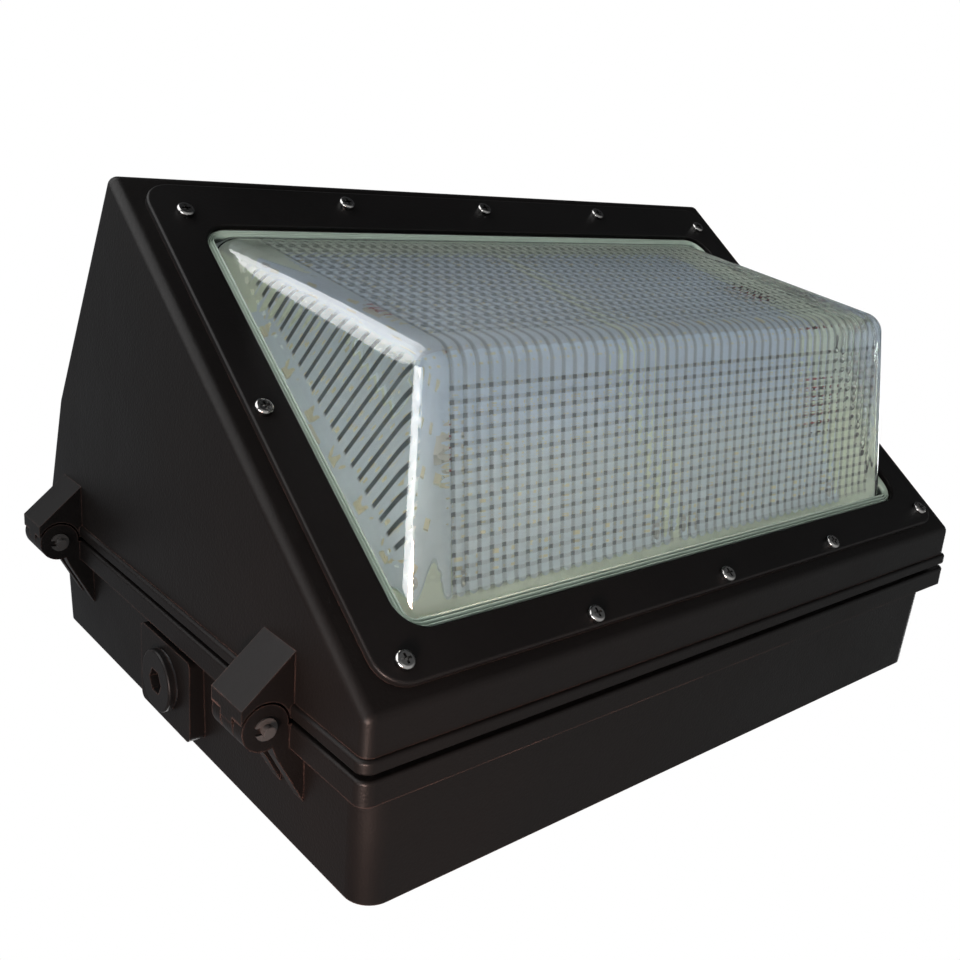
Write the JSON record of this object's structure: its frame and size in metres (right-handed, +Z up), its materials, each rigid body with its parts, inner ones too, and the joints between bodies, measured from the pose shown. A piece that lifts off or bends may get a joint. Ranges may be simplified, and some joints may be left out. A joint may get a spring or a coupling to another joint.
{
  "type": "wall pack light",
  "caption": "Cast wall pack light: hinged front with a tilted prismatic glass refractor in a screwed bezel, over a shallow wall box with conduit hubs.",
  "frame": {"origin": "centre of the face that lies on the wall", "axes": "+Z up as mounted, -Y out of the wall, +X to the right seen from the front"},
  "size_m": [0.3952, 0.2182, 0.286],
  "materials": {
    "cast_bronze": "die-cast aluminium with a dark bronze powder coat",
    "bezel_bronze": "die-cast aluminium, dark bronze powder coat, smoother",
    "refractor_glass": "pressed prismatic glass, faint green",
    "black_rubber": "black silicone rubber",
    "clear_silicone": "grey translucent silicone",
    "bright_steel": "bright stainless screws",
    "zinc_steel": "zinc-plated steel",
    "black_steel": "steel pins blackened with oxide",
    "green_steel": "green ground screw",
    "white_enamel": "aluminium sheet in white reflective enamel",
    "plain_aluminium": "plain aluminium plate",
    "white_board": "white solder mask",
    "yellow_phosphor": "phosphor-coated emitters, unlit",
    "white_nylon": "white nylon",
    "lead_jacket": "insulated leads",
    "driver_case": "potted driver in a dark case",
    "brass_terminal": "plated brass terminal screws"
  },
  "bodies": {
    "wall_box": {"back_box": "cast_bronze", "box_gasket": "black_rubber", "wire_entry_grommet": "black_rubber", "ground_screw": "green_steel", "ground_washer": "zinc_steel", "conduit_plug_left": "bezel_bronze", "conduit_plug_right": "bezel_bronze", "conduit_plug_top": "bezel_bronze", "plug_seal_left": "black_rubber", "plug_seal_right": "black_rubber", "plug_seal_top": "black_rubber", "hinge_pin_lower": "black_steel", "hinge_pin_upper": "black_steel", "hinge_clip_lower": "black_steel", "hinge_clip_upper": "black_steel"},
    "door": {"front_housing": "cast_bronze", "lens_bezel": "bezel_bronze", "bezel_screws": "bright_steel", "glass_refractor": "refractor_glass", "lens_seal_lower": "clear_silicone", "lens_seal_upper": "clear_silicone", "reflector_tray": "white_enamel", "reflector_screws": "zinc_steel", "heat_spreader": "plain_aluminium", "led_board_left": "white_board", "led_board_right": "white_board", "led_emitters_left": "yellow_phosphor", "led_emitters_right": "yellow_phosphor", "led_connector_left": "white_nylon", "led_connector_right": "white_nylon", "led_leads_left": "lead_jacket", "led_leads_right": "lead_jacket", "led_board_screws": "zinc_steel", "lead_grommets": "black_rubber", "driver_bracket": "zinc_steel", "bracket_screws": "zinc_steel", "led_driver": "driver_case", "driver_screws": "zinc_steel", "terminal_block": "white_nylon", "terminal_screws": "brass_terminal", "supply_leads": "lead_jacket"},
    "lower_closure": {"closure_screw_lower": "zinc_steel", "closure_ring_lower": "white_nylon"},
    "upper_closure": {"closure_screw_upper": "zinc_steel", "closure_ring_upper": "white_nylon"}
  },
  "joints": [
    {"name": "door_hinge", "type": "hinge", "parent": "wall_box", "child": "door", "pos_m": [-0.189, -0.055, 0], "axis": [0, 0, -1], "range_deg": [0, 105]},
    {"name": "lower_closure_slide", "type": "slide", "parent": "door", "child": "lower_closure", "axis": [0, -1, 0], "range_m": [0, 0.0098]},
    {"name": "upper_closure_slide", "type": "slide", "parent": "door", "child": "upper_closure", "axis": [0, -1, 0], "range_m": [0, 0.0098]}
  ]
}
